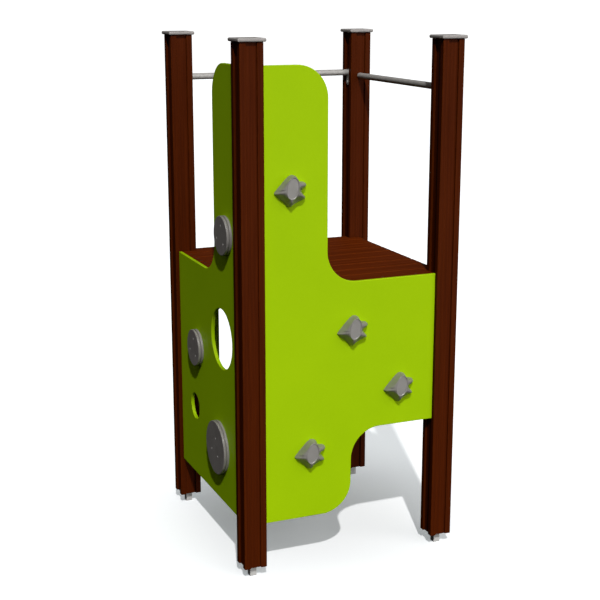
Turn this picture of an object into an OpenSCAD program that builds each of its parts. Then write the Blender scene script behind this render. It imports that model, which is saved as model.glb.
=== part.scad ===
// Playground climbing tower: four posts, a deck, two climbing panels,
// a doorway panel and two guard bars.
// Origin: middle of the footprint, on the ground. +Z up, -Y towards the panel with star grips,
// -X towards the panel with round holds.

/* [Overall] */
// Distance between post centres, both ways
bay = 842; // [780:1:1100]
// Length of a post
post_h = 2077; // [1950:1:2600]
// Deck surface above the bottom of the posts
deck_z = 1144; // [1100:1:1400]

/* [Posts] */
// Width of a square post
post_w = 95; // [79:1:120]
// Width of the flute along each face
flute_w = 44; // [36:1:56]
// Depth of the flute
flute_d = 8; // [4:0.5:10]
// Rounding of the post's corners
post_r = 3; // [1:0.5:6]
// Rounding of the flute's lips
lip_r = 2; // [1:0.5:3]

/* [Feet] */
// Width of the square steel stub
foot_w = 28; // [20:1:50]
// Height of the stub below the post
foot_h = 46; // [30:1:80]
// Diameter of the spigot inside the post
spigot_d = 20; // [12:1:30]
// Length of the spigot
spigot_l = 140; // [80:1:160]

/* [Caps] */
// Width of the cap
cap_w = 112; // [104:1:140]
// Thickness of the cap
cap_t = 14; // [9:0.5:20]
// Chamfer around the cap's edges
cap_bevel = 3.5; // [1:0.5:4]
// Length of the cap screw
cap_screw_l = 60; // [30:1:90]

/* [Panels] */
// Thickness of the plastic panels
panel_t = 15; // [12:0.5:19]
// Panel face set back from the post face
panel_set = 15; // [8:0.5:20]
// Top of the panel below the top of the post
panel_drop = 86; // [40:1:200]
// Bottom of the panels above the bottom of the posts
panel_z = 180; // [120:1:240]
// Width of the tall column beside the corner post
neck_w = 266; // [220:1:330]
// Width of the low lobe of the star panel
lobe_w = 375; // [280:1:420]
// Height of the star panel's wing below the deck surface
wing_h = 618; // [520:1:660]
// Radius of the large outline corners
corner_r = 127; // [80:1:140]
// Gap between a panel's edge and the post
panel_gap = 1; // [0.5:0.1:2]

/* [Openings in the disc panel] */
// Diameter of the large hole
big_hole_d = 251; // [230:1:280]
// Distance of the large hole from the corner post
big_hole_u = 194; // [170:1:230]
// Depth of the large hole below the deck surface
big_hole_down = 257; // [220:1:280]
// Diameter of the small hole
small_hole_d = 113; // [80:1:120]
// Distance of the small hole from the corner post
small_hole_u = 555; // [480:1:570]
// Depth of the small hole below the deck surface
small_hole_down = 652; // [600:1:700]

/* [Doorway panel] */
// Width of each jamb
jamb_w = 122; // [80:1:160]
// Height of the lintel
lintel_h = 130; // [90:1:180]
// Panel top below the deck surface
door_drop = 30; // [28:1:60]

/* [Star grips] */
// Height of a grip above its panel
grip_h = 46; // [36:1:60]
// Reach of the longest point from the grip's centre
grip_reach = 72; // [55:1:90]
// Diameter of the fixing bolt
bolt_d = 10; // [8:1:12]
// Depth that the bolt reaches into the grip
bolt_bite = 24; // [18:1:28]
// Top grip, distance from the corner post
grip_high_u = 107; // [100:1:160]
// Top grip, height above the deck
grip_high_up = 383; // [200:1:500]
// Middle grip, distance from the corner post
grip_middle_u = 374; // [330:1:400]
// Middle grip, depth below the deck
grip_middle_down = 192; // [185:1:260]
// Side grip, distance from the corner post
grip_side_u = 584; // [560:1:600]
// Side grip, depth below the deck
grip_side_down = 452; // [400:1:520]
// Low grip, distance from the corner post
grip_low_u = 191; // [150:1:240]
// Low grip, depth below the deck
grip_low_down = 686; // [600:1:740]

/* [Round holds] */
// Diameter of the small holds
disc_d = 157; // [120:1:190]
// Diameter of the large hold
large_disc_d = 226; // [190:1:250]
// Thickness of each of the two discs
disc_t = 10.5; // [8:0.5:14]
// Width of the groove between the discs
groove_w = 3; // [2:0.5:6]
// Depth of the groove
groove_d = 6; // [3:0.5:10]
// Rounding of the disc edges
disc_r = 2.5; // [1:0.5:4]
// Radius of the circle of fixing screws
screw_ring = 43; // [25:1:50]
// High hold, distance from the corner post
disc_high_u = 123; // [110:1:170]
// High hold, height above the deck
disc_high_up = 183; // [150:1:400]
// Middle hold, distance from the corner post
disc_middle_u = 500; // [430:1:540]
// Middle hold, depth below the deck
disc_middle_down = 371; // [340:1:400]
// Low hold, distance from the corner post
disc_low_u = 228; // [180:1:260]
// Low hold, depth below the deck
disc_low_down = 731; // [640:1:760]

/* [Deck] */
// Thickness of a deck board
board_t = 28; // [20:1:36]
// Gap between two boards
board_gap = 5; // [3:0.5:8]
// Clearance of the boards around a post
notch_gap = 1.5; // [1:0.5:5]
// Rounding of the boards' long edges
board_r = 3; // [1:0.5:5]
// Height of the beams under the deck
beam_h = 95; // [70:1:120]
// Clearance of a beam's end in its flute
beam_seat = 0.3; // [0.2:0.1:1]

/* [Guard bars] */
// Diameter of a guard bar
bar_d = 27; // [20:1:30]
// Wall thickness of a guard bar
bar_wall = 2.5; // [1.5:0.5:4]
// Back bar below the top of the posts
bar_back_drop = 178; // [140:1:260]
// Right bar below the top of the posts
bar_right_drop = 192; // [140:1:260]
// Depth of the right bar's sockets behind the flute
socket_l = 20; // [12:1:22]
// Length of the back bar's end tabs below the bar's axis
tab_l = 56; // [36:1:70]
// Thickness of an end tab
tab_t = 4; // [3:0.5:6]

/* [Brackets and screws] */
// Thickness of the steel brackets
angle_t = 3; // [2:0.5:5]
// Reach of a bracket's legs
angle_l = 40; // [34:1:60]
// Height of a panel bracket
tie_h = 40; // [30:1:60]
// Diameter of a screw's shank
screw_d = 6; // [4:0.5:7]
// Diameter of a screw's head
head_d = 11; // [8:0.5:12]
// Height of a screw's head
head_h = 3; // [2:0.5:4]
// Clearance around screws, bolts and spigots
fit = 0.15; // [0.1:0.05:0.4]

/* [Hidden] */
$fn = 64;

eps = 0.5;
board_count = 9;                    // as many as the deck_board nodes

// Sides, counted from the star panel: front, left, back, right
front = 0;
left = 1;
back = 2;
right = 3;

half = bay / 2;
inner = half - post_w / 2;          // post's side face, from the middle of the bay
flute_floor = inner + flute_d;      // floor of the flute in that face
panel_out = post_w / 2 - panel_set; // panel's outer face, out from the post's centre line
panel_in = panel_out - panel_t;     // panel's back face
panel_half = inner - panel_gap;     // half of a panel's width
panel_top = post_h - panel_drop;
wing_z = deck_z - wing_h;

flute_clear = 2;                    // beside a beam or a bracket in its flute
beam_t = min(2 * panel_in, flute_w - 2 * flute_clear);  // up to the panel's back, within the flute
beam_top = deck_z - board_t;
beam_z = beam_top - beam_h;
deck_near = half + panel_in;        // front and left edges touch the panels
deck_far = half;                    // back and right edges lie on the posts' centre lines
board_pitch = (deck_near + deck_far + board_gap) / board_count;
board_w = board_pitch - board_gap;

screw_in = beam_t / 4;              // screws at the back and right edges, in from the edge
screw_aside = board_w / 4;          // board screws, aside from the board's middle
end_row = [-0.8 : 0.4 : 0.8];       // screws along an end board, as shares of the inner width
bracket_inset = 2.5;                // a bracket is narrower than its beam on both edges
bracket_w = beam_t - 2 * bracket_inset;
leg_screw = 0.6 * angle_l;          // screw's place along a bracket's leg
panel_leg_screw = 0.7 * angle_l;
post_cover = 6;                     // timber left between a screw's tip and the post's middle
panel_cover = 3;                    // panel left beyond a screw's tip
board_bite = 30;                    // reach of a board screw into its beam
tip_apart = 1;                      // screws from both sides of the joist end before its middle
post_screw_l = post_w / 2 - flute_d - post_cover;
panel_screw_l = panel_t - panel_cover;
board_screw_l = board_t + board_bite;
beam_screw_l = 30;
joist_side_l = beam_t / 2 - tip_apart;
joist_screw_l = joist_side_l + angle_t;
tie_side = min(panel_in, flute_w / 2 - flute_clear);  // a panel bracket's outer side in the flute
tie_pack = panel_in - tie_side;     // solid pad from there to the panel's back, where needed
tie_leg = tie_side + flute_w / 2 - flute_clear;
tie_screw_l = panel_screw_l + tie_pack;
bar_back_z = post_h - bar_back_drop;
bar_right_z = post_h - bar_right_drop;
disc_stand = 2 * disc_t + groove_w;
hold_screw_l = disc_stand - head_h + panel_screw_l;
ring_angles = [-20, 100, 220];      // fixing screws of a round hold
bolt_head_h = 0.64 * bolt_d;        // usual proportions of a hexagon head and its washer
bolt_head_w = 1.9 * bolt_d;
washer_d = 2.2 * bolt_d;
washer_t = 2;

// Heights of the panel brackets, clear of the beams and their brackets
tie_up = 70;                        // lowest bracket above a panel's lower edge
tie_down = 120;                     // highest bracket below the panel's top
tie_low = panel_z + tie_up;
tie_deck = beam_z - angle_l - 2 * tie_h;
tie_middle = (tie_low + tie_deck) / 2;
tie_wing = wing_z + tie_up;
tie_neck = (deck_z + panel_top) / 2;
tie_top = panel_top - tie_down;

// Reach of the parts past the post centres, which puts the origin in the middle
reach_left = max(cap_w / 2, panel_out + disc_stand);
reach_front = max(cap_w / 2, panel_out + grip_h);
mid_x = (reach_left - cap_w / 2) / 2;
mid_y = (reach_front - cap_w / 2) / 2;

// Signs of x and y of the posts: front left, front right, back left, back right
post_signs = [[-1, -1], [1, -1], [-1, 1], [1, 1]];
// The two sides that meet at each post, each with the end (-1 or 1) that the post is at
post_ends = [
    [[front, -1], [left, -1]],
    [[front, 1], [right, 1]],
    [[left, 1], [back, -1]],
    [[back, 1], [right, -1]]
];

// Grips: distance from the corner post, height
grips = [
    [grip_high_u, deck_z + grip_high_up],
    [grip_middle_u, deck_z - grip_middle_down],
    [grip_side_u, deck_z - grip_side_down],
    [grip_low_u, deck_z - grip_low_down]
];
// Round holds: distance from the corner post, height, diameter
holds = [
    [disc_high_u, deck_z + disc_high_up, disc_d],
    [disc_middle_u, deck_z - disc_middle_down, disc_d],
    [disc_low_u, deck_z - disc_low_down, large_disc_d]
];
// Points of a grip: angle, reach as a share of the longest, width of the point
grip_points = [[192, 0.95, 9], [265, 1, 9], [327, 0.95, 8], [13, 0.91, 8], [78, 0.8, 15]];
grip_foot_t = 3;                    // thickness of the points at the panel
grip_core = 0.42;                   // radius of the round middle, as a share of the reach
facet_wide = 0.37;                  // half width of the flat top, as a share of the reach
facet_tall = 0.62;                  // half height of the flat top, as a share of the reach
facet_shift = [-9, 9];              // middle of the flat top from the bolt
facet_t = 2;
ridge_out = 0.7;                    // fullest place of a point, as a share of its reach
ridge_up = 0.55;                    // and its height, as a share of the grip's

post_brown = [0.27, 0.12, 0.03];
deck_brown = [0.31, 0.12, 0.03];
panel_green = [0.62, 0.77, 0.02];
hold_grey = [0.45, 0.44, 0.45];
steel_grey = [0.72, 0.73, 0.74];

// ---- placing ----

// A part drawn for the front side, turned to another side of the square plan
module on_side(side) {
    if (side == front) children();
    if (side == left) mirror([1, -1, 0]) children();
    if (side == back) mirror([0, 1, 0]) children();
    if (side == right) mirror([1, 1, 0]) children();
}

// Model frame: plan centre of the posts, bottom of the posts
module set_down() {
    translate([mid_x, mid_y, foot_h]) children();
}

module at_post(n) {
    translate([post_signs[n][0] * half, post_signs[n][1] * half, 0]) children();
}

// One end of a side: +1 right as drawn, -1 left
module at_end(end) {
    if (end > 0) children();
    else mirror([1, 0, 0]) children();
}

// Point on the front panel's outer face, +Z of the child pointing out
module on_panel(u, z) {
    translate([u - panel_half, -half - panel_out, z]) rotate([90, 0, 0]) children();
}

// ---- fasteners, drawn along -Z from the seat under the head ----

module screw(l) {
    difference() {
        union() {
            translate([0, 0, -l]) cylinder(h = l, d = screw_d);
            cylinder(h = head_h, d = head_d);
        }
        translate([0, 0, head_h / 3]) cylinder(h = head_h, d = head_d / 2, $fn = 6);
    }
}

module screw_hole(l) {
    translate([0, 0, -l - fit]) cylinder(h = l + fit + eps, d = screw_d + 2 * fit);
}

// Sunk seat for a head, below the surface at z = 0
module head_seat() {
    translate([0, 0, -head_h - fit]) cylinder(h = head_h + fit + eps, d = head_d + 2 * fit);
}

// ---- posts, caps, feet ----

module rounded_square(w, r) {
    difference() {
        square(w, center = true);
        for (turn = [0 : 90 : 270]) rotate(turn) translate([w / 2, w / 2]) corner_cut(r);
    }
}

// One flute opening, with rounded lips, in the face at x = post_w / 2
module flute() {
    floor_x = post_w / 2 - flute_d;
    translate([floor_x, -flute_w / 2]) square([flute_d + eps, flute_w]);
    for (s = [-1, 1]) difference() {
        translate([post_w / 2 - lip_r, s * flute_w / 2 - lip_r]) square([lip_r + eps, 2 * lip_r]);
        translate([post_w / 2 - lip_r, s * (flute_w / 2 + lip_r)]) circle(lip_r);
    }
}

module post_section() {
    difference() {
        rounded_square(post_w, post_r);
        for (turn = [0 : 90 : 270]) rotate(turn) flute();
    }
}

// Holes that one end of one side needs in its post
module end_holes(side, end) {
    on_side(side) at_end(end) {
        beam_post_screw() screw_hole(post_screw_l);
        for (z = tie_heights(side, end)) tie_post_screw(z) screw_hole(post_screw_l);
        if (side == back) tab_screw() screw_hole(post_screw_l);
        if (side == right) bar_socket();
    }
}

module post(n) {
    color(post_brown) set_down() difference() {
        at_post(n) linear_extrude(post_h) post_section();
        at_post(n) translate([0, 0, -eps]) cylinder(h = spigot_l + 2 * eps, d = spigot_d + 2 * fit);
        at_post(n) cap_screw_seat() screw_hole(cap_screw_l);
        for (e = post_ends[n]) end_holes(e[0], e[1]);
    }
}

module cap(n) {
    color(steel_grey) set_down() at_post(n) difference() {
        translate([0, 0, post_h]) intersection() {
            cap_bar();
            rotate(90) cap_bar();
        }
        cap_screw_seat() {
            screw_hole(cap_screw_l);
            translate([0, 0, head_h + fit]) head_seat();
        }
    }
}

// Under the sunk head of the cap screw
module cap_screw_seat() {
    translate([0, 0, post_h + cap_t - head_h - fit]) children();
}

// Bar along Y with the cap's chamfered outline
module cap_bar() {
    w = cap_w / 2;
    rotate([90, 0, 0]) translate([0, 0, -w]) linear_extrude(cap_w)
        polygon([[cap_bevel - w, 0], [w - cap_bevel, 0], [w, cap_bevel], [w, cap_t - cap_bevel],
                 [w - cap_bevel, cap_t], [cap_bevel - w, cap_t], [-w, cap_t - cap_bevel], [-w, cap_bevel]]);
}

module cap_screws() {
    color(steel_grey) set_down() for (n = [0 : 3]) at_post(n) cap_screw_seat() screw(cap_screw_l);
}

module foot(n) {
    color(steel_grey) set_down() at_post(n) {
        translate([-foot_w / 2, -foot_w / 2, -foot_h]) cube([foot_w, foot_w, foot_h]);
        translate([0, 0, -foot_h]) cylinder(h = foot_h + spigot_l, d = spigot_d);
    }
}

// ---- panels ----

// Piece to cut from a convex corner at the origin, whose material lies towards -x, -y
module corner_cut(r) {
    difference() {
        translate([-r, -r]) square(r + eps);
        translate([-r, -r]) circle(r, $fn = 128);
    }
}

// Piece that fills a concave corner at the origin, towards +x, +y
module corner_fill(r) {
    difference() {
        translate([-eps, -eps]) square(r + eps);
        translate([r, r]) circle(r, $fn = 128);
    }
}

module box2(x0, y0, x1, y1) {
    translate([x0, y0]) square([x1 - x0, y1 - y0]);
}

// Neck beside the corner post, with its rounded top and the fillet on the shoulder
module neck_outline() {
    neck_x = neck_w - panel_half;
    difference() {
        box2(-panel_half, panel_z, neck_x, panel_top);
        translate([neck_x, panel_top]) corner_cut(corner_r);
    }
    translate([neck_x, deck_z]) corner_fill(min(corner_r, panel_top - deck_z - corner_r));
}

module star_outline() {
    lobe_x = lobe_w - panel_half;
    lobe_r = min(corner_r, (wing_z - panel_z) / 2);
    neck_outline();
    box2(-panel_half, wing_z, panel_half, deck_z);
    difference() {
        box2(-panel_half, panel_z, lobe_x, wing_z + eps);
        translate([lobe_x, panel_z]) mirror([0, 1]) corner_cut(lobe_r);
    }
    translate([lobe_x, wing_z]) mirror([0, 1]) corner_fill(lobe_r);
}

module disc_outline() {
    difference() {
        union() {
            neck_outline();
            box2(-panel_half, panel_z, panel_half, deck_z);
        }
        translate([big_hole_u - panel_half, deck_z - big_hole_down]) circle(d = big_hole_d, $fn = 128);
        translate([small_hole_u - panel_half, deck_z - small_hole_down])
            circle(d = small_hole_d, $fn = 96);
    }
}

module doorway_outline() {
    door_top = deck_z - door_drop;
    door_x = panel_half - jamb_w;
    head_z = door_top - lintel_h;
    difference() {
        box2(-panel_half, panel_z, panel_half, door_top);
        box2(-door_x, panel_z - eps, door_x, head_z);
    }
    for (s = [0, 1]) mirror([s, 0]) translate([door_x, head_z]) mirror([1, 0]) mirror([0, 1])
        corner_fill(corner_r);
}

// A panel drawn on the front side, without its holes
module panel_plate() {
    translate([0, -half - panel_in, 0]) rotate([90, 0, 0]) linear_extrude(panel_t) children();
}

module tie_holes(side) {
    for (end = [-1, 1]) at_end(end) for (z = tie_heights(side, end))
        tie_panel_screw(z) screw_hole(tie_screw_l);
}

module star_panel() {
    color(panel_green) set_down() difference() {
        panel_plate() star_outline();
        for (g = grips) on_panel(g[0], g[1]) translate([0, 0, -panel_t - eps])
            cylinder(h = panel_t + 2 * eps, d = bolt_d + 2 * fit);
        tie_holes(front);
    }
}

module disc_panel() {
    color(panel_green) set_down() on_side(left) difference() {
        panel_plate() disc_outline();
        for (h = holds) on_panel(h[0], h[1]) ring_of_screws()
            translate([0, 0, disc_stand - head_h]) screw_hole(hold_screw_l);
        tie_holes(left);
    }
}

module doorway_panel() {
    color(panel_green) set_down() on_side(back) difference() {
        panel_plate() doorway_outline();
        tie_holes(back);
    }
}

// ---- star grips ----

// Foot of one point of a grip, on the panel
module point_foot(p) {
    rotate(p[0]) translate([grip_reach * p[1] - p[2], 0, 0])
        cylinder(h = grip_foot_t, r = p[2], $fn = 24);
}

// Ridge of one point, which keeps its back full between the flat top and the foot
module point_ridge(p) {
    rotate(p[0]) translate([ridge_out * grip_reach * p[1], 0, ridge_up * grip_h])
        sphere(p[2] / 3, $fn = 16);
}

// One point of a grip: from the flat top down to the panel
module grip_point(p) {
    hull() {
        grip_top();
        point_ridge(p);
        point_foot(p);
        cylinder(h = grip_foot_t, r = grip_reach * grip_core, $fn = 32);
    }
}

// Flat top: an oval plate
module grip_top() {
    translate([facet_shift[0], facet_shift[1], grip_h - facet_t]) linear_extrude(facet_t)
        for (s = [-1, 1]) translate([0, s * grip_reach * (facet_tall - facet_wide)])
            circle(r = grip_reach * facet_wide, $fn = 32);
}

// Straight flank between the left and the upper point
module grip_flank() {
    hull() {
        point_foot(grip_points[0]);
        point_foot(grip_points[4]);
    }
}

module grip(n) {
    color(hold_grey) set_down() on_panel(grips[n][0], grips[n][1]) difference() {
        union() {
            for (p = grip_points) grip_point(p);
            grip_flank();
        }
        translate([0, 0, -eps]) cylinder(h = bolt_bite + 2 * eps, d = bolt_d + 2 * fit);
    }
}

module grip_bolts() {
    color(steel_grey) set_down() for (g = grips) on_panel(g[0], g[1])
        translate([0, 0, -panel_t - washer_t]) {
            cylinder(h = washer_t + panel_t + bolt_bite, d = bolt_d);
            translate([0, 0, -bolt_head_h]) cylinder(h = bolt_head_h, d = bolt_head_w, $fn = 6);
        }
}

module grip_washers() {
    color(steel_grey) set_down() for (g = grips) on_panel(g[0], g[1])
        translate([0, 0, -panel_t - washer_t]) difference() {
            cylinder(h = washer_t, d = washer_d);
            translate([0, 0, -eps]) cylinder(h = washer_t + 2 * eps, d = bolt_d + 2 * fit);
        }
}

// ---- round holds ----

module ring_of_screws() {
    for (a = ring_angles) rotate(a) translate([screw_ring, 0, 0]) children();
}

// Disc with rounded edges, lying on z = 0
module disc(d) {
    rotate_extrude($fn = 96) {
        box2(0, 0, d / 2 - disc_r, disc_t);
        box2(0, disc_r, d / 2, disc_t - disc_r);
        for (z = [disc_r, disc_t - disc_r]) translate([d / 2 - disc_r, z]) circle(disc_r, $fn = 32);
    }
}

// Lower disc, with the boss that leaves the groove
module hold_base(n) {
    color(hold_grey) set_down() on_side(left) on_panel(holds[n][0], holds[n][1]) difference() {
        union() {
            disc(holds[n][2]);
            cylinder(h = disc_t + groove_w, d = holds[n][2] - 2 * groove_d, $fn = 96);
        }
        ring_of_screws() translate([0, 0, disc_stand - head_h]) screw_hole(hold_screw_l);
    }
}

module hold_face(n) {
    color(hold_grey) set_down() on_side(left) on_panel(holds[n][0], holds[n][1]) difference() {
        translate([0, 0, disc_t + groove_w]) disc(holds[n][2]);
        ring_of_screws() {
            translate([0, 0, disc_stand - head_h]) screw_hole(hold_screw_l);
            translate([0, 0, disc_stand]) head_seat();
        }
    }
}

module hold_screws() {
    color(steel_grey) set_down() on_side(left) for (h = holds) on_panel(h[0], h[1])
        ring_of_screws() translate([0, 0, disc_stand - head_h - fit]) screw(hold_screw_l - fit);
}

// ---- beams and joist ----

module beam(side) {
    color(post_brown) set_down() on_side(side) difference() {
        translate([beam_seat - flute_floor, -half - beam_t / 2, beam_z])
            cube([2 * (flute_floor - beam_seat), beam_t, beam_h]);
        for (end = [-1, 1]) at_end(end) beam_up_screw() screw_hole(beam_screw_l);
        if (side == front || side == back) joist_beam_screws() screw_hole(joist_screw_l);
        beam_board_screws(side) screw_hole(board_screw_l);
    }
}

module joist() {
    l = 2 * (half - beam_t / 2 - beam_seat);
    color(post_brown) set_down() difference() {
        translate([-beam_t / 2, -l / 2, beam_z]) cube([beam_t, l, beam_h]);
        for (side = [front, back]) on_side(side) joist_side_screws() screw_hole(joist_side_l);
        joist_board_screws() screw_hole(board_screw_l);
    }
}

// Bracket under a beam's end, in the flute of the right-hand post
module beam_bracket() {
    difference() {
        union() {
            translate([flute_floor - angle_t, -half - bracket_w / 2, beam_z - angle_l])
                cube([angle_t, bracket_w, angle_l]);
            translate([flute_floor - angle_l, -half - bracket_w / 2, beam_z - angle_t])
                cube([angle_l, bracket_w, angle_t]);
        }
        beam_up_screw() screw_hole(beam_screw_l);
        beam_post_screw() screw_hole(post_screw_l);
    }
}

module beam_up_screw() {
    translate([flute_floor - leg_screw, -half, beam_z - angle_t]) rotate([180, 0, 0]) children();
}

module beam_post_screw() {
    translate([flute_floor - angle_t, -half, beam_z - leg_screw]) rotate([0, -90, 0]) children();
}

module beam_brackets() {
    color(steel_grey) set_down() for (side = [front : right]) on_side(side)
        for (end = [-1, 1]) at_end(end) beam_bracket();
}

// Two angles hold each end of the joist to a beam
module joist_bracket() {
    beam_face = -half + beam_t / 2;
    difference() {
        union() {
            translate([beam_t / 2, beam_face, beam_z + angle_l / 2])
                cube([angle_t, angle_l, angle_l]);
            translate([beam_t / 2, beam_face, beam_z + angle_l / 2])
                cube([angle_l, angle_t, angle_l]);
        }
        joist_beam_screw() screw_hole(joist_screw_l);
        joist_side_screw() screw_hole(joist_side_l);
    }
}

module joist_beam_screw() {
    translate([beam_t / 2 + leg_screw, -half + beam_t / 2 + angle_t, beam_z + angle_l])
        rotate([-90, 0, 0]) children();
}

module joist_side_screw() {
    translate([beam_t / 2 + angle_t, -half + beam_t / 2 + leg_screw, beam_z + angle_l])
        rotate([0, 90, 0]) children();
}

module joist_beam_screws() {
    for (end = [-1, 1]) at_end(end) joist_beam_screw() children();
}

module joist_side_screws() {
    for (end = [-1, 1]) at_end(end) joist_side_screw() children();
}

module joist_brackets() {
    color(steel_grey) set_down() for (side = [front, back]) on_side(side)
        for (end = [-1, 1]) at_end(end) joist_bracket();
}

module frame_screws() {
    color(steel_grey) set_down() {
        for (side = [front : right]) on_side(side) for (end = [-1, 1]) at_end(end) {
            beam_up_screw() screw(beam_screw_l);
            beam_post_screw() screw(post_screw_l);
        }
        for (side = [front, back]) on_side(side) {
            joist_beam_screws() screw(joist_screw_l);
            joist_side_screws() screw(joist_side_l);
        }
    }
}

// ---- deck ----

function board_y(n) = -deck_near + (n - 0.5) * board_pitch - board_gap / 2;
function is_end_board(n) = abs(board_y(n)) + board_w / 2 > inner;

// Seats of the board screws over the left and right beams, and over the joist
module side_screw_spots(n) {
    if (!is_end_board(n)) for (x = [-half, half - screw_in], s = [-1, 1])
        translate([x, board_y(n) + s * screw_aside, deck_z - head_h - fit]) children();
}

module joist_screw_spots(n) {
    if (!is_end_board(n)) for (s = [-1, 1])
        translate([0, board_y(n) + s * screw_aside, deck_z - head_h - fit]) children();
}

// An end board is screwed along the beam it lies on
module end_screw_spots(n) {
    y = board_y(n) < 0 ? -half : half - screw_in;
    if (is_end_board(n)) for (x = end_row)
        translate([x * inner, y, deck_z - head_h - fit]) children();
}

module board_screws(n) {
    side_screw_spots(n) children();
    joist_screw_spots(n) children();
    end_screw_spots(n) children();
}

module joist_board_screws() {
    for (n = [1 : board_count]) joist_screw_spots(n) children();
}

// Board screws that enter one beam, turned back to the front side's frame
module beam_board_screws(side) {
    on_side(side) for (n = [1 : board_count]) {
        if (side == left || side == right) side_screw_spots(n) children();
        if (side == front || side == back) end_screw_spots(n) children();
    }
}

module deck_board(n) {
    color(deck_brown) set_down() difference() {
        translate([-deck_near, board_y(n), beam_top]) rotate([90, 0, 90])
            linear_extrude(deck_near + deck_far) board_section();
        for (p = [0 : 3]) at_post(p) translate([0, 0, deck_z])
            cube([post_w + 2 * notch_gap, post_w + 2 * notch_gap, 4 * board_t], center = true);
        board_screws(n) {
            screw_hole(board_screw_l);
            translate([0, 0, head_h + fit]) head_seat();
        }
    }
}

// Board end: flat below, rounded along the upper edges
module board_section() {
    w = board_w / 2;
    box2(-w, 0, w, board_t - board_r);
    box2(board_r - w, 0, w - board_r, board_t);
    for (s = [-1, 1]) translate([s * (w - board_r), board_t - board_r]) circle(board_r, $fn = 32);
}

module deck_screws() {
    color(steel_grey) set_down() for (n = [1 : board_count]) board_screws(n) screw(board_screw_l);
}

// ---- panel brackets ----

// Heights of the brackets at one end of a side
function tie_heights(side, end) =
    side == front && end < 0 ? [tie_low, tie_deck, tie_neck, tie_top] :
    side == front ? [tie_wing, tie_deck] :
    side == left && end < 0 ? [tie_low, tie_deck, tie_neck, tie_top] :
    side == left ? [tie_low, tie_middle, tie_deck] :
    side == back ? [tie_low, tie_middle, tie_deck] : [];

// Angle between the flute of the right-hand post and the panel's back
module tie(z) {
    difference() {
        union() {
            translate([flute_floor - angle_t, -half - tie_side, z - tie_h / 2])
                cube([angle_t, tie_leg, tie_h]);
            translate([flute_floor - angle_l, -half - tie_side, z - tie_h / 2])
                cube([angle_l, angle_t, tie_h]);
            if (tie_pack > 0) translate([flute_floor - angle_l, -half - panel_in, z - tie_h / 2])
                cube([angle_l - flute_d - panel_gap, tie_pack, tie_h]);
        }
        tie_post_screw(z) screw_hole(post_screw_l);
        tie_panel_screw(z) screw_hole(tie_screw_l);
    }
}

module tie_post_screw(z) {
    translate([flute_floor - angle_t, -half - tie_side + (tie_leg + angle_t) / 2, z])
        rotate([0, -90, 0]) children();
}

module tie_panel_screw(z) {
    translate([flute_floor - panel_leg_screw, -half - tie_side + angle_t, z])
        rotate([-90, 0, 0]) children();
}

module ties(side) {
    color(steel_grey) set_down() on_side(side) for (end = [-1, 1]) at_end(end)
        for (z = tie_heights(side, end)) tie(z);
}

module tie_screws() {
    color(steel_grey) set_down() for (side = [front, left, back]) on_side(side)
        for (end = [-1, 1]) at_end(end) for (z = tie_heights(side, end)) {
            tie_post_screw(z) screw(post_screw_l);
            tie_panel_screw(z) screw(tie_screw_l);
        }
}

// ---- guard bars ----

module tube_x(l) {
    rotate([0, 90, 0]) difference() {
        cylinder(h = l, d = bar_d, center = true);
        cylinder(h = l + 2 * eps, d = bar_d - 2 * bar_wall, center = true);
    }
}

// End tab in the flute of the right-hand post, rounded at the bottom
module tab() {
    difference() {
        translate([flute_floor - tab_t, -half, bar_back_z]) rotate([90, 0, 90])
            linear_extrude(tab_t) {
                circle(d = bar_d);
                box2(-bar_d / 2, bar_d / 2 - tab_l, bar_d / 2, 0);
                translate([0, bar_d / 2 - tab_l]) circle(d = bar_d);
            }
        tab_screw() screw_hole(post_screw_l);
    }
}

module tab_screw() {
    translate([flute_floor - tab_t, -half, bar_back_z - tab_l + bar_d / 2])
        rotate([0, -90, 0]) children();
}

module guard_bar_back() {
    color(steel_grey) set_down() on_side(back) {
        translate([0, -half, bar_back_z]) tube_x(2 * (flute_floor - tab_t));
        for (end = [-1, 1]) at_end(end) tab();
    }
}

// Blind socket for the right bar in the right-hand post
module bar_socket() {
    translate([flute_floor - eps, -half, bar_right_z]) rotate([0, 90, 0])
        cylinder(h = socket_l + eps, d = bar_d + 2 * fit);
}

module guard_bar_right() {
    color(steel_grey) set_down() on_side(right)
        translate([0, -half, bar_right_z]) tube_x(2 * (flute_floor + socket_l - beam_seat));
}

module bar_screws() {
    color(steel_grey) set_down() on_side(back) for (end = [-1, 1]) at_end(end)
        tab_screw() screw(post_screw_l);
}

post(0);  // post_front_left
post(1);  // post_front_right
post(2);  // post_back_left
post(3);  // post_back_right
cap(0);  // cap_front_left
cap(1);  // cap_front_right
cap(2);  // cap_back_left
cap(3);  // cap_back_right
cap_screws();
foot(0);  // foot_front_left
foot(1);  // foot_front_right
foot(2);  // foot_back_left
foot(3);  // foot_back_right
star_panel();
disc_panel();
doorway_panel();
grip(0);  // grip_high
grip(1);  // grip_middle
grip(2);  // grip_side
grip(3);  // grip_low
grip_bolts();
grip_washers();
hold_base(0);  // hold_high_base
hold_face(0);  // hold_high_face
hold_base(1);  // hold_middle_base
hold_face(1);  // hold_middle_face
hold_base(2);  // hold_low_base
hold_face(2);  // hold_low_face
hold_screws();
deck_board(1);  // deck_board_1
deck_board(2);  // deck_board_2
deck_board(3);  // deck_board_3
deck_board(4);  // deck_board_4
deck_board(5);  // deck_board_5
deck_board(6);  // deck_board_6
deck_board(7);  // deck_board_7
deck_board(8);  // deck_board_8
deck_board(9);  // deck_board_9
deck_screws();
beam(front);  // beam_front
beam(left);  // beam_left
beam(back);  // beam_back
beam(right);  // beam_right
joist();
beam_brackets();
joist_brackets();
frame_screws();
ties(front);  // star_panel_ties
ties(left);  // disc_panel_ties
ties(back);  // doorway_ties
tie_screws();
guard_bar_back();
guard_bar_right();
bar_screws();
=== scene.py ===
import math
import random

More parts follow.
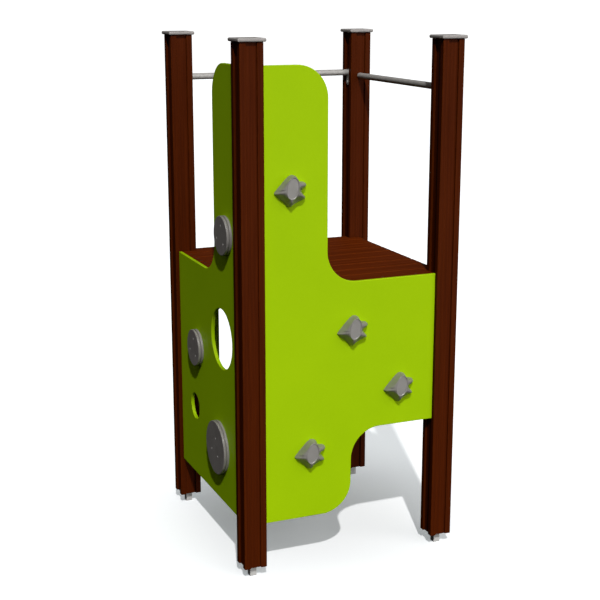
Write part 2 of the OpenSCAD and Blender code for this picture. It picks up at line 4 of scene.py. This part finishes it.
import bmesh
import bpy
from mathutils import Matrix, Vector


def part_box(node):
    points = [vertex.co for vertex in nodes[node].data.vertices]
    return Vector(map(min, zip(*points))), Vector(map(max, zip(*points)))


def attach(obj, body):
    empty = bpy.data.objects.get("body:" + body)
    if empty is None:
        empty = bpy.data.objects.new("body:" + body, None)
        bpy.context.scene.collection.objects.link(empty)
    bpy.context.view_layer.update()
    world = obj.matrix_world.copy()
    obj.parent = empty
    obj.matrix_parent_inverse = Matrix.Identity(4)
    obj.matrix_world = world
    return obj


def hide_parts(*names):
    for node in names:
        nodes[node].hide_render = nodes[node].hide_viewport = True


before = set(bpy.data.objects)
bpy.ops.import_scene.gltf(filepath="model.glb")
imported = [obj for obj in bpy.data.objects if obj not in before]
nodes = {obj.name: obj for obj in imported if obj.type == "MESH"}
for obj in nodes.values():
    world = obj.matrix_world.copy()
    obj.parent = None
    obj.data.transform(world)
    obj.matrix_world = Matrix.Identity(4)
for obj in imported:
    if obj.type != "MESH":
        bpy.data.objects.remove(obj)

random.seed(7)
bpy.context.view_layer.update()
scene = bpy.context.scene
print("frame loaded:", len(nodes), "nodes")


# camera, light and floor

cameraSettings = {
    "place": (-2.059, -4.8155, 2.3014),  # metres
    "turn": -22.77,  # degrees from straight at the star panel
    "tilt": 13.80,  # degrees down
    "lens": 75.4,
}

lightSettings = {
    "sunTravel": (0.29, 0.905, -1.0),
    "sunPower": 2.2,
    "sunSoftness": 1.2,  # degrees
    "fillTravel": (-0.38, 0.92, -0.34),
    "fillPower": 1.45,
    "fillSoftness": 70,
    "skyTop": 0.17,
    "skySide": 0.0,
}

floorSettings = {
    "size": 60.0,
    "white": 0.96,
    "glowNear": 0.20,  # keeps the shadow on the floor pale
    "glowFar": 0.50,
    "glowFrom": 0.15,  # metres from the middle of the tower
    "glowTo": 1.1,
}


def addCamera(settings):
    data = bpy.data.cameras.new("camera")
    data.lens = settings["lens"]
    data.sensor_width = 36
    camera = bpy.data.objects.new("camera", data)
    camera.location = settings["place"]
    camera.rotation_euler = (math.radians(90 - settings["tilt"]), 0, math.radians(settings["turn"]))
    scene.collection.objects.link(camera)
    scene.camera = camera


def addSun(name, travel, power, softness):
    data = bpy.data.lights.new(name, "SUN")
    data.energy = power
    data.angle = math.radians(softness)
    sun = bpy.data.objects.new(name, data)
    sun.rotation_euler = Vector(travel).to_track_quat("-Z", "Y").to_euler()
    sun.location = (0, -3, 5)
    scene.collection.objects.link(sun)


def addSky(settings):
    world = bpy.data.worlds.new("sky")
    scene.world = world
    world.use_nodes = True
    tree = world.node_tree
    tree.nodes.clear()
    place = tree.nodes.new("ShaderNodeTexCoord")
    axes = tree.nodes.new("ShaderNodeSeparateXYZ")
    height = tree.nodes.new("ShaderNodeMapRange")
    height.inputs["From Min"].default_value = -0.2
    height.inputs["From Max"].default_value = 1.0
    height.inputs["To Min"].default_value = settings["skySide"]
    height.inputs["To Max"].default_value = settings["skyTop"]
    light = tree.nodes.new("ShaderNodeBackground")
    light.inputs["Color"].default_value = (1.0, 0.96, 0.93, 1)
    seen = tree.nodes.new("ShaderNodeBackground")
    seen.inputs["Color"].default_value = (1, 1, 1, 1)
    seen.inputs["Strength"].default_value = 1.1
    ray = tree.nodes.new("ShaderNodeLightPath")
    mix = tree.nodes.new("ShaderNodeMixShader")
    out = tree.nodes.new("ShaderNodeOutputWorld")
    tree.links.new(place.outputs["Generated"], axes.inputs[0])
    tree.links.new(axes.outputs["Z"], height.inputs["Value"])
    tree.links.new(height.outputs["Result"], light.inputs["Strength"])
    tree.links.new(ray.outputs["Is Camera Ray"], mix.inputs["Fac"])
    tree.links.new(light.outputs[0], mix.inputs[1])
    tree.links.new(seen.outputs[0], mix.inputs[2])
    tree.links.new(mix.outputs[0], out.inputs["Surface"])


def addFloor(settings):
    half = settings["size"] / 2
    mesh = bpy.data.meshes.new("floor")
    corners = [(-half, -half, 0), (half, -half, 0), (half, half, 0), (-half, half, 0)]
    mesh.from_pydata(corners, [], [(0, 1, 2, 3)])
    floor = bpy.data.objects.new("floor", mesh)
    scene.collection.objects.link(floor)
    # a bright floor would flood the shaded sides and grey the dark wood
    floor.visible_diffuse = False
    floor.visible_glossy = False
    material = bpy.data.materials.new("floorWhite")
    material.use_nodes = True
    tree = material.node_tree
    shader = tree.nodes["Principled BSDF"]
    shader.inputs["Base Color"].default_value = (settings["white"],) * 3 + (1,)
    shader.inputs["Roughness"].default_value = 0.9
    shader.inputs["Specular IOR Level"].default_value = 0.0
    # painted light: the floor glows a faint blue so the shadow on it stays pale and blue-grey; the glow is
    # weaker near the tower, a painted shade that darkens the floor close to it
    shader.inputs["Emission Color"].default_value = (0.90, 0.97, 1.0, 1)
    place = tree.nodes.new("ShaderNodeTexCoord")
    far = tree.nodes.new("ShaderNodeVectorMath")
    far.operation = "LENGTH"
    glow = tree.nodes.new("ShaderNodeMapRange")
    glow.interpolation_type = "SMOOTHSTEP"
    glow.inputs["From Min"].default_value = settings["glowFrom"]
    glow.inputs["From Max"].default_value = settings["glowTo"]
    glow.inputs["To Min"].default_value = settings["glowNear"]
    glow.inputs["To Max"].default_value = settings["glowFar"]
    tree.links.new(place.outputs["Object"], far.inputs[0])
    tree.links.new(far.outputs["Value"], glow.inputs["Value"])
    tree.links.new(glow.outputs["Result"], shader.inputs["Emission Strength"])
    mesh.materials.append(material)


addCamera(cameraSettings)
addSun("keySun", lightSettings["sunTravel"], lightSettings["sunPower"], lightSettings["sunSoftness"])
addSun("softFill", lightSettings["fillTravel"], lightSettings["fillPower"], lightSettings["fillSoftness"])
addSky(lightSettings)
addFloor(floorSettings)
scene.view_settings.view_transform = "Standard"
print("camera, light and floor ready")


# small helpers for the node materials

def newMaterial(name):
    material = bpy.data.materials.new(name)
    material.use_nodes = True
    tree = material.node_tree
    return material, tree, tree.nodes["Principled BSDF"]


def addNode(tree, kind, **values):
    node = tree.nodes.new("ShaderNode" + kind)
    for key, value in values.items():
        setattr(node, key, value)
    return node


def stretched(tree, scale):
    place = addNode(tree, "TexCoord")
    mapping = addNode(tree, "Mapping")
    mapping.inputs["Scale"].default_value = scale
    tree.links.new(place.outputs["Object"], mapping.inputs["Vector"])
    return mapping.outputs["Vector"]


def noise(tree, vector, scale, detail=4.0, roughness=0.55, warp=0.0):
    node = addNode(tree, "TexNoise")
    node.inputs["Scale"].default_value = scale
    node.inputs["Detail"].default_value = detail
    node.inputs["Roughness"].default_value = roughness
    node.inputs["Distortion"].default_value = warp
    tree.links.new(vector, node.inputs["Vector"])
    return node.outputs["Fac"]


def spread(tree, value, low, high, toLow=0.0, toHigh=1.0, smooth=False):
    node = addNode(tree, "MapRange")
    if smooth:
        node.interpolation_type = "SMOOTHSTEP"
    node.inputs["From Min"].default_value = low
    node.inputs["From Max"].default_value = high
    node.inputs["To Min"].default_value = toLow
    node.inputs["To Max"].default_value = toHigh
    tree.links.new(value, node.inputs["Value"])
    return node.outputs["Result"]


def math2(tree, kind, a, b):
    node = addNode(tree, "Math", operation=kind)
    for socket, value in zip(node.inputs, (a, b)):
        if isinstance(value, (int, float)):
            socket.default_value = value
        else:
            tree.links.new(value, socket)
    return node.outputs[0]


def mixColour(tree, factor, first, second, kind="MIX"):
    node = addNode(tree, "Mix", data_type="RGBA", blend_type=kind)
    sockets = (node.inputs["Factor"], node.inputs[6], node.inputs[7])
    for socket, value in zip(sockets, (factor, first, second)):
        if isinstance(value, (int, float)):
            socket.default_value = value
        elif isinstance(value, tuple):
            socket.default_value = value + (1,) if len(value) == 3 else value
        else:
            tree.links.new(value, socket)
    return node.outputs[2]


def roundedEdge(tree, low=0.86, high=0.985):
    # 1 on rounded edges, 0 on faces that lie along the axes
    geometry = addNode(tree, "NewGeometry")
    absolute = addNode(tree, "VectorMath", operation="ABSOLUTE")
    axes = addNode(tree, "SeparateXYZ")
    tree.links.new(geometry.outputs["Normal"], absolute.inputs[0])
    tree.links.new(absolute.outputs[0], axes.inputs[0])
    wider = math2(tree, "MAXIMUM", axes.outputs[0], axes.outputs[1])
    widest = math2(tree, "MAXIMUM", wider, axes.outputs[2])
    return spread(tree, widest, low, high, 1.0, 0.0, True)


def bump(tree, shader, height, strength, distance, after=None):
    node = addNode(tree, "Bump")
    node.inputs["Strength"].default_value = strength
    node.inputs["Distance"].default_value = distance
    tree.links.new(height, node.inputs["Height"])
    if after is not None:
        tree.links.new(after.outputs[0], node.inputs["Normal"])
    tree.links.new(node.outputs[0], shader.inputs["Normal"])
    return node


# finishes, colours as linear values

limeBoardFinish = {
    "colour": (0.372, 0.602, 0.0012),
    "paleFleckAndEdgeHighlight": (0.450, 0.680, 0.010),  # pale flecks in the board, and painted highlight on the rounded edges
    "dull": (0.350, 0.575, 0.0010),
    "roughness": 0.40,
    "shine": 0.05,
    "grainSize": 420,  # sandy moulded grain, per metre
}

stainedPostFinish = {
    "colour": (0.084, 0.0128, 0.0006),
    "dark": (0.054, 0.0076, 0.0004),
    "worn": (0.120, 0.024, 0.002),
    "roughness": 0.46,
    "shine": 0.04,
}

stainedBoardFinish = {
    "colour": (0.140, 0.0215, 0.0008),
    "dark": (0.090, 0.0130, 0.0005),
    "worn": (0.150, 0.028, 0.002),
    "roughness": 0.58,
    "shine": 0.04,
}

resinFinish = {
    "colour": (0.262, 0.250, 0.232),
    "dark": (0.225, 0.214, 0.198),
    "worn": (0.340, 0.325, 0.310),
    "roughness": 0.40,
    "shine": 0.90,
}

discFinish = {
    "colour": (0.300, 0.280, 0.266),
    "dark": (0.262, 0.244, 0.232),
    "worn": (0.400, 0.380, 0.364),
    "roughness": 0.34,
    "shine": 0.90,
}

capFinish = {
    "colour": (0.362, 0.338, 0.322),
    "dark": (0.320, 0.298, 0.284),
    "worn": (0.440, 0.426, 0.414),
    "roughness": 0.40,
}

zincFinish = {
    "colour": (0.680, 0.665, 0.640),
    "dark": (0.540, 0.530, 0.510),
    "roughness": 0.42,
    "spangle": 55,  # crystals per metre
}

zincBarFinish = {
    "colour": (0.470, 0.455, 0.430),
    "dark": (0.390, 0.378, 0.360),
    "roughness": 0.36,
    "spangle": 90,
}

brownScrewFinish = {
    "colour": (0.070, 0.026, 0.012),
    "dark": (0.050, 0.018, 0.009),
    "roughness": 0.50,
    "spangle": 900,  # fine speckle of the coating
}


def limeBoard(settings):
    material, tree, shader = newMaterial("limeBoard")
    vector = stretched(tree, (1, 1, 1))
    cloud = spread(tree, noise(tree, vector, 2.2, 5.0), 0.35, 0.65)
    speck = spread(tree, noise(tree, vector, 160, 2.0), 0.45, 0.75)
    colour = mixColour(tree, cloud, settings["dull"], settings["colour"])
    colour = mixColour(tree, math2(tree, "MULTIPLY", speck, 0.14), colour, settings["paleFleckAndEdgeHighlight"])
    edge = roundedEdge(tree)
    # painted highlight: the rounded edges are mixed toward the pale colour, which the flecks also use
    colour = mixColour(tree, math2(tree, "MULTIPLY", edge, 0.75), colour, settings["paleFleckAndEdgeHighlight"])
    tree.links.new(colour, shader.inputs["Base Color"])
    scuff = spread(tree, noise(tree, vector, 14, 6.0, 0.7, 0.6), 0.55, 0.75)
    rough = math2(tree, "ADD", math2(tree, "MULTIPLY", scuff, 0.16), settings["roughness"])
    rough = math2(tree, "SUBTRACT", rough, math2(tree, "MULTIPLY", edge, 0.10))
    tree.links.new(rough, shader.inputs["Roughness"])
    shader.inputs["Specular IOR Level"].default_value = settings["shine"]
    grain = noise(tree, vector, settings["grainSize"], 2.0)
    wave = noise(tree, vector, 9, 2.0)
    first = bump(tree, shader, wave, 0.03, 0.002)
    bump(tree, shader, grain, 0.10, 0.0006, first)
    return material


def stainedWood(name, settings, grainScale, growth):
    # long grain with darker late wood, pores and rubbed edges
    material, tree, shader = newMaterial(name)
    along = stretched(tree, grainScale)
    even = stretched(tree, (1, 1, 1))
    streak = spread(tree, noise(tree, along, 60, 5.0, 0.65, 0.4), 0.34, 0.66)
    ring = addNode(tree, "TexWave", wave_type="RINGS", rings_direction=growth)
    ring.inputs["Scale"].default_value = 34
    ring.inputs["Distortion"].default_value = 7.0
    ring.inputs["Detail"].default_value = 3.0
    ring.inputs["Detail Scale"].default_value = 1.6
    tree.links.new(along, ring.inputs["Vector"])
    late = spread(tree, ring.outputs["Fac"], 0.25, 0.95)
    streak = math2(tree, "MULTIPLY", streak, 0.65)
    tone = math2(tree, "ADD", streak, math2(tree, "MULTIPLY", late, 0.35))
    colour = mixColour(tree, tone, settings["dark"], settings["colour"])
    patch = spread(tree, noise(tree, even, 3.0, 3.0), 0.35, 0.7, 0.0, 0.30)
    colour = mixColour(tree, patch, colour, settings["dark"])
    edge = roundedEdge(tree)
    wear = spread(tree, noise(tree, even, 30, 4.0), 0.35, 0.7, 0.15, 0.75)
    rub = math2(tree, "MULTIPLY", edge, wear)
    colour = mixColour(tree, rub, colour, settings["worn"])
    tree.links.new(colour, shader.inputs["Base Color"])
    rough = math2(tree, "SUBTRACT", settings["roughness"] + 0.10, math2(tree, "MULTIPLY", tone, 0.16))
    tree.links.new(rough, shader.inputs["Roughness"])
    shader.inputs["Specular IOR Level"].default_value = settings["shine"]
    pore = noise(tree, along, 190, 3.0, 0.6)
    first = bump(tree, shader, tone, 0.16, 0.0008)
    bump(tree, shader, pore, 0.14, 0.0004, first)
    return material


def mouldedResin(name, settings, sand):
    material, tree, shader = newMaterial(name)
    vector = stretched(tree, (1, 1, 1))
    cloud = spread(tree, noise(tree, vector, 18, 5.0), 0.35, 0.65)
    colour = mixColour(tree, cloud, settings["dark"], settings["colour"])
    fleck = spread(tree, noise(tree, vector, 900, 1.0), 0.60, 0.72, 0.0, 0.35)
    colour = mixColour(tree, fleck, colour, settings["worn"])
    tree.links.new(colour, shader.inputs["Base Color"])
    low, high = settings["roughness"] - 0.05, settings["roughness"] + 0.10
    rough = spread(tree, noise(tree, vector, 40, 4.0), 0.3, 0.7, low, high)
    tree.links.new(rough, shader.inputs["Roughness"])
    shader.inputs["Specular IOR Level"].default_value = settings["shine"]
    bump(tree, shader, noise(tree, vector, 1100, 2.0), sand, 0.0005)
    return material


def coatedCap(settings):
    material, tree, shader = newMaterial("coatedCap")
    vector = stretched(tree, (1, 1, 1))
    cloud = spread(tree, noise(tree, vector, 12, 4.0), 0.35, 0.65)
    colour = mixColour(tree, cloud, settings["dark"], settings["colour"])
    colour = mixColour(tree, math2(tree, "MULTIPLY", roundedEdge(tree), 0.6), colour, settings["worn"])
    tree.links.new(colour, shader.inputs["Base Color"])
    low, high = settings["roughness"] - 0.05, settings["roughness"] + 0.08
    rough = spread(tree, noise(tree, vector, 60, 3.0), 0.3, 0.7, low, high)
    tree.links.new(rough, shader.inputs["Roughness"])
    bump(tree, shader, noise(tree, vector, 700, 2.0), 0.12, 0.0004)
    return material


def zincSteel(name, settings, metal):
    # galvanised: grey crystals with slightly different gloss
    material, tree, shader = newMaterial(name)
    vector = stretched(tree, (1, 1, 1))
    crystal = addNode(tree, "TexVoronoi", feature="F1")
    crystal.inputs["Scale"].default_value = settings["spangle"]
    tree.links.new(vector, crystal.inputs["Vector"])
    tone = addNode(tree, "SeparateColor")
    tree.links.new(crystal.outputs["Color"], tone.inputs[0])
    colour = mixColour(tree, tone.outputs[0], settings["dark"], settings["colour"])
    tree.links.new(colour, shader.inputs["Base Color"])
    rough = spread(tree, tone.outputs[1], 0.0, 1.0, settings["roughness"] - 0.07, settings["roughness"] + 0.10)
    tree.links.new(rough, shader.inputs["Roughness"])
    shader.inputs["Metallic"].default_value = metal
    bump(tree, shader, noise(tree, vector, 240, 3.0), 0.10, 0.0004)
    return material


lime = limeBoard(limeBoardFinish)
postWood = stainedWood("postWood", stainedPostFinish, (1, 1, 0.035), "Z")
beamWood = stainedWood("beamWood", stainedPostFinish, (0.035, 0.035, 1), "X")
deckWood = stainedWood("deckWood", stainedBoardFinish, (0.035, 1, 1), "X")
gripResin = mouldedResin("gripResin", resinFinish, 0.16)
discResin = mouldedResin("discResin", discFinish, 0.12)
capCoat = coatedCap(capFinish)
zinc = zincSteel("zinc", zincFinish, 0.15)
zincBar = zincSteel("zincBar", zincBarFinish, 0.10)
brownScrew = zincSteel("brownScrew", brownScrewFinish, 0.0)
print("finishes ready")


# ways of making a piece that several nodes share

def finishPiece(piece, node, material, smooth=35):
    mesh = piece.data
    mesh.materials.clear()
    mesh.materials.append(material)
    mesh.polygons.foreach_set("use_smooth", [True] * len(mesh.polygons))
    mesh.set_sharp_from_angle(angle=math.radians(smooth))
    even = piece.modifiers.new("even", "WEIGHTED_NORMAL")  # keeps broad faces flat in the light
    even.weight = 100
    even.keep_sharp = True
    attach(piece, "root")
    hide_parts(node)
    return piece


def newPiece(name, mesh):
    piece = bpy.data.objects.new(name, mesh)
    scene.collection.objects.link(piece)
    return piece


def softCopy(node, material, edge=0.0, rounds=2, smooth=35):
    # the CAD solid with its sharp edges eased
    mesh = nodes[node].data.copy()
    mesh.name = node + "_eased"
    work = bmesh.new()
    work.from_mesh(mesh)
    bmesh.ops.remove_doubles(work, verts=work.verts, dist=1e-5)
    if edge:
        bmesh.ops.dissolve_limit(work, angle_limit=math.radians(0.5), verts=work.verts, edges=work.edges)
    work.to_mesh(mesh)
    work.free()
    piece = newPiece(node + "_eased", mesh)
    if edge:
        ease = piece.modifiers.new("ease", "BEVEL")
        ease.width = edge
        ease.segments = rounds
        ease.limit_method = "ANGLE"
        ease.angle_limit = math.radians(40)
        ease.harden_normals = False
    return finishPiece(piece, node, material, smooth)


def arc(centre, radius, start, end, steps):
    # points of an arc, angles in degrees
    points = []
    for i in range(steps + 1):
        angle = math.radians(start + (end - start) * i / steps)
        points.append((centre[0] + radius * math.cos(angle), centre[1] + radius * math.sin(angle)))
    return points


# fluted posts

postShape = {
    "fluteWidth": 0.044,
    "fluteDepth": 0.008,
    "cornerRadius": 0.003,
    "lipRadius": 0.0025,
    "floorRadius": 0.0015,
    "endChamfer": 0.0015,
}


def postOutline(width, shape, inset=0.0):
    # one face with half of its corner, turned four times
    half = width / 2 - inset
    corner = shape["cornerRadius"]
    lip = shape["lipRadius"]
    fillet = shape["floorRadius"]
    side = shape["fluteWidth"] / 2 + inset
    floor = half - shape["fluteDepth"]
    face = arc((half - corner, -half + corner), corner, -45, 0, 4)
    face += arc((half - lip, -side - lip), lip, 0, 90, 5)
    face += arc((floor + fillet, -side + fillet), fillet, 270, 180, 3)
    face += arc((floor + fillet, side - fillet), fillet, 180, 90, 3)
    face += arc((half - lip, side + lip), lip, 270, 360, 5)
    face += arc((half - corner, half - corner), corner, 0, 45, 4)[:-1]
    points = []
    for quarter in range(4):
        turn = Matrix.Rotation(math.radians(90 * quarter), 2)
        points += [turn @ Vector(p) for p in face]
    return points


def makePost(node, shape):
    low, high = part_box(node)
    middle = (low + high) / 2
    width = high.x - low.x
    cut = shape["endChamfer"]
    work = bmesh.new()
    rings = []
    for z, inset in ((low.z, cut), (low.z + cut, 0), (high.z - cut, 0), (high.z, cut)):
        outline = postOutline(width, shape, inset)
        rings.append([work.verts.new((middle.x + p[0], middle.y + p[1], z)) for p in outline])
    for below, above in zip(rings, rings[1:]):
        for i in range(len(below)):
            j = (i + 1) % len(below)
            work.faces.new((below[i], below[j], above[j], above[i]))
    work.faces.new(list(reversed(rings[0])))
    work.faces.new(rings[-1])
    mesh = bpy.data.meshes.new(node + "_fluted")
    work.to_mesh(mesh)
    work.free()
    return finishPiece(newPiece(node + "_fluted", mesh), node, postWood, 30)


capShape = {
    "edgeRadius": 0.0052,
    "cornerRadius": 0.0030,
    "seatRadius": 0.0058,  # sunk seat of the screw head
    "seatDepth": 0.0034,
    "rounds": 6,
}


def squareOutline(half, corner, steps):
    # rounded square, the same number of points in each quarter
    points = []
    for quarter in range(4):
        turn = Matrix.Rotation(math.radians(90 * quarter), 2)
        points += [turn @ Vector(p) for p in arc((half - corner, half - corner), corner, 0, 90, steps)]
    return points


def makeCap(node, shape):
    low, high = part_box(node)
    middle = (low + high) / 2
    half = (high.x - low.x) / 2
    radius = shape["edgeRadius"]
    steps = 11
    rings = []
    for z, turn in ((low.z + radius, -90), (high.z - radius, 0)):
        for i in range(shape["rounds"] + 1):
            angle = math.radians(turn + 90 * i / shape["rounds"])
            inset = radius * (1 - math.cos(angle))
            outline = squareOutline(half - inset, shape["cornerRadius"], steps)
            rings.append([(p.x, p.y, z + radius * math.sin(angle)) for p in outline])
    count = len(rings[0])
    for z in (high.z, high.z - shape["seatDepth"]):
        ring = []
        for p in rings[-1][:count]:
            flat = Vector((p[0], p[1])).normalized() * shape["seatRadius"]
            ring.append((flat.x, flat.y, z))
        rings.append(ring)
    work = bmesh.new()
    loops = [[work.verts.new((middle.x + x, middle.y + y, z)) for x, y, z in ring] for ring in rings]
    for below, above in zip(loops, loops[1:]):
        for i in range(count):
            j = (i + 1) % count
            work.faces.new((below[i], below[j], above[j], above[i]))
    work.faces.new(list(reversed(loops[0])))
    work.faces.new(loops[-1])
    mesh = bpy.data.meshes.new(node + "_rounded")
    work.to_mesh(mesh)
    work.free()
    return finishPiece(newPiece(node + "_rounded", mesh), node, capCoat, 40)


corners = ("front_left", "front_right", "back_left", "back_right")
for cornerName in corners:
    makePost("post_" + cornerName, postShape)
    makeCap("cap_" + cornerName, capShape)
    softCopy("foot_" + cornerName, zinc, 0.0010)
print("posts, caps and feet ready")


# routed panels

panelShape = {
    "edgeRadius": 0.0028,
    "edgeRounds": 3,
    "smallestHole": 0.03,  # screw and bolt holes are covered, so they are left out
}


def outlineLoops(node, axis, outward):
    # closed outlines of a panel's flat face, as points along the two other axes
    low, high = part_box(node)
    plane = high[axis] if outward > 0 else low[axis]
    work = bmesh.new()
    work.from_mesh(nodes[node].data)
    bmesh.ops.remove_doubles(work, verts=work.verts, dist=1e-5)
    flat = {f for f in work.faces if all(abs(v.co[axis] - plane) < 1e-5 for v in f.verts)}
    step = {}
    for face in flat:
        for loop in face.loops:
            if sum(f in flat for f in loop.edge.link_faces) == 1:
                step[loop.vert.index] = loop.link_loop_next.vert.index
    work.verts.ensure_lookup_table()
    across = 1 - axis  # the panels stand upright, so the other level axis
    loops = []
    while step:
        start = next(iter(step))
        points = []
        at = start
        while at in step:
            points.append((work.verts[at].co[across], work.verts[at].co.z))
            at = step.pop(at)
        loops.append(points)
    work.free()
    return loops


def makePanel(node, axis, outward, shape):
    low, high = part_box(node)
    thickness = high[axis] - low[axis]
    radius = shape["edgeRadius"]
    curve = bpy.data.curves.new(node + "_outline", "CURVE")
    curve.dimensions = "2D"
    curve.fill_mode = "BOTH"
    curve.extrude = thickness / 2 - radius
    curve.bevel_depth = radius
    curve.bevel_resolution = shape["edgeRounds"]
    curve.offset = -radius
    for points in outlineLoops(node, axis, outward):
        size = max(p[1] for p in points) - min(p[1] for p in points)
        if size < shape["smallestHole"]:
            continue
        spline = curve.splines.new("POLY")
        spline.points.add(len(points) - 1)
        for target, point in zip(spline.points, points):
            target.co = (point[0], point[1], 0, 1)
        spline.use_cyclic_u = True
    outline = bpy.data.objects.new(node + "_outline", curve)
    scene.collection.objects.link(outline)
    bpy.context.view_layer.update()
    mesh = bpy.data.meshes.new_from_object(outline.evaluated_get(bpy.context.evaluated_depsgraph_get()))
    bpy.data.objects.remove(outline)
    middle = (low[axis] + high[axis]) / 2
    level = Vector((1, 0, 0)) if axis == 1 else Vector((0, 1, 0))
    through = level.cross(Vector((0, 0, 1)))
    place = Matrix((level, (0, 0, 1), through)).transposed().to_4x4()
    place.translation = Vector((middle if axis == 0 else 0, middle if axis == 1 else 0, 0))
    mesh.transform(place)
    mesh.name = node + "_routed"
    work = bmesh.new()
    work.from_mesh(mesh)
    bmesh.ops.remove_doubles(work, verts=work.verts, dist=1e-6)
    bmesh.ops.recalc_face_normals(work, faces=work.faces)
    work.to_mesh(mesh)
    work.free()
    return finishPiece(newPiece(node + "_routed", mesh), node, lime, 40)


makePanel("star_panel", 1, -1, panelShape)
makePanel("disc_panel", 0, -1, panelShape)
makePanel("doorway_panel", 1, 1, panelShape)
print("panels ready")


# star grips

gripShape = {
    "boltFromLeft": 0.0685,  # bolt, from the left and the bottom of the grip
    "boltFromBottom": 0.0720,
    "points": [  # outline on the panel from the bolt, anticlockwise from the right horn
        (0.066, 0.012), (0.058, 0.025), (0.031, 0.028), (0.023, 0.050), (-0.004, 0.056),
        (-0.068, -0.012), (-0.066, -0.019), (-0.032, -0.045), (-0.007, -0.0735), (0.024, -0.052),
        (0.059, -0.040), (0.060, -0.032), (0.040, -0.010),
    ],
    "rim": 0.005,  # height of the upright rim on the panel
    "facetMiddle": (-0.006, 0.008),
    "facetHalf": (0.0265, 0.0430),
    "facetTilt": -9,  # degrees
    "lipWidth": 0.0050,
    "dish": 0.0026,  # the flat top lies this far below its lip
    "arms": (12, 78, 190, 265, 328),  # degrees
    "armWidth": 15,
    "armFull": 0.62,  # how far the back of each point bulges
    "shoulder": (84, 186),  # the full flank between the upper and the left point
    "shoulderFull": 1.0,
    "valleyHollow": 0.16,
    "flankRings": 9,
}


def softenOutline(points, rounds, share):
    # cuts each corner, so that the points of the star end round
    for _ in range(rounds):
        cut = []
        for a, b in zip(points, points[1:] + points[:1]):
            a, b = Vector(a), Vector(b)
            cut += [a.lerp(b, share), a.lerp(b, 1 - share)]
        points = cut
    return points


def reach(points, angle):
    # distance from the bolt to the outline
    ray = Vector((math.cos(angle), math.sin(angle)))
    best = 0.0
    for a, b in zip(points, points[1:] + points[:1]):
        side = Vector(b) - Vector(a)
        cross = ray.x * side.y - ray.y * side.x
        if abs(cross) < 1e-12:
            continue
        along = (a[0] * side.y - a[1] * side.x) / cross
        share = (a[0] * ray.y - a[1] * ray.x) / cross
        if along > 0 and -1e-9 <= share <= 1 + 1e-9:
            best = max(best, along)
    return best


def fullness(angle, shape):
    # bulging along the five points, hollow between them
    turn = math.degrees(angle) % 360
    near = min(abs((turn - arm + 180) % 360 - 180) for arm in shape["arms"])
    share = math.exp(-((near / shape["armWidth"]) ** 2))
    full = share * shape["armFull"] - (1 - share) * shape["valleyHollow"]
    start, end = shape["shoulder"]
    rise = min(1.0, max(0.0, (turn - start) / 12)) * min(1.0, max(0.0, (end - turn) / 8))
    return full + rise * (shape["shoulderFull"] - full)


def makeGrip(node, shape):
    low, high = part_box(node)
    bolt = Vector((low.x + shape["boltFromLeft"], high.y, low.z + shape["boltFromBottom"]))
    height = high.y - low.y
    rim = shape["rim"]
    star = softenOutline(shape["points"], 3, 0.2)
    tilt = math.radians(shape["facetTilt"])
    middle = Vector(shape["facetMiddle"])
    half = shape["facetHalf"]
    flanks = shape["flankRings"]
    steps = 180
    rings = [[] for _ in range(flanks + 7)]
    for i in range(steps):
        angle = 2 * math.pi * i / steps
        foot = Vector((math.cos(angle), math.sin(angle))) * reach(star, angle)
        oval = Vector((math.cos(angle - tilt) * half[0], math.sin(angle - tilt) * half[1]))
        oval.rotate(Matrix.Rotation(tilt, 2))
        facet = middle + oval
        full = fullness(angle, shape)
        profile = [(foot, 0.0), (foot, rim * 0.6), (foot * 0.985, rim)]
        for ring in range(1, flanks + 1):
            share = ring / (flanks + 1)
            bend = math.pi / 2 * share
            along = (1 - full) * share + full * (1 - math.cos(bend))
            up = (1 - full) * share + full * math.sin(bend)
            profile.append((foot.lerp(facet, along), rim + (height - rim) * up))
        profile.append((facet, height - 0.0008))
        for inward, drop in ((0.25, 0.0), (0.65, 0.35), (1.0, 1.0)):
            lip = middle + oval * (1 - inward * shape["lipWidth"] / oval.length)
            profile.append((lip, height - drop * shape["dish"]))
        for ring, point in zip(rings, profile):
            ring.append(point)
    work = bmesh.new()
    loops = []
    for ring in rings:
        loops.append([work.verts.new((bolt.x + p.x, bolt.y - out, bolt.z + p.y)) for p, out in ring])
    for below, above in zip(loops, loops[1:]):
        for i in range(steps):
            j = (i + 1) % steps
            work.faces.new((below[i], below[j], above[j], above[i]))
    work.faces.new(loops[-1])
    work.faces.new(list(reversed(loops[0])))
    bmesh.ops.recalc_face_normals(work, faces=work.faces)
    mesh = bpy.data.meshes.new(node + "_star")
    work.to_mesh(mesh)
    work.free()
    return finishPiece(newPiece(node + "_star", mesh), node, gripResin, 28)


for gripName in ("grip_high", "grip_middle", "grip_side", "grip_low"):
    makeGrip(gripName, gripShape)
print("star grips ready")


# round holds

for holdName in ("hold_high", "hold_middle", "hold_low"):
    softCopy(holdName + "_base", discResin, 0.0, smooth=30)
    softCopy(holdName + "_face", discResin, 0.0, smooth=30)
print("round holds ready")


# deck, beams, brackets, bars and screws

easedEdges = {"board": 0.0015, "beam": 0.0025, "bracket": 0.0006}

for boardNumber in range(1, 10):
    softCopy(f"deck_board_{boardNumber}", deckWood, easedEdges["board"])
for beamName in ("beam_front", "beam_back", "beam_left", "beam_right", "joist"):
    softCopy(beamName, beamWood, easedEdges["beam"])
for bracketName in ("beam_brackets", "joist_brackets", "star_panel_ties", "disc_panel_ties", "doorway_ties"):
    softCopy(bracketName, zinc, easedEdges["bracket"])
softCopy("guard_bar_back", zincBar, 0.0008)
softCopy("guard_bar_right", zincBar, 0.0)
screwFinishes = {
    "cap_screws": zinc, "grip_bolts": zinc, "grip_washers": zinc, "hold_screws": zinc,
    "deck_screws": brownScrew,  # coated to match the boards
    "frame_screws": zinc, "tie_screws": zinc, "bar_screws": zinc,
}
for screwName, screwMaterial in screwFinishes.items():
    for place in nodes[screwName].material_slots:
        place.material = screwMaterial
print("deck, beams, bars and screws ready")
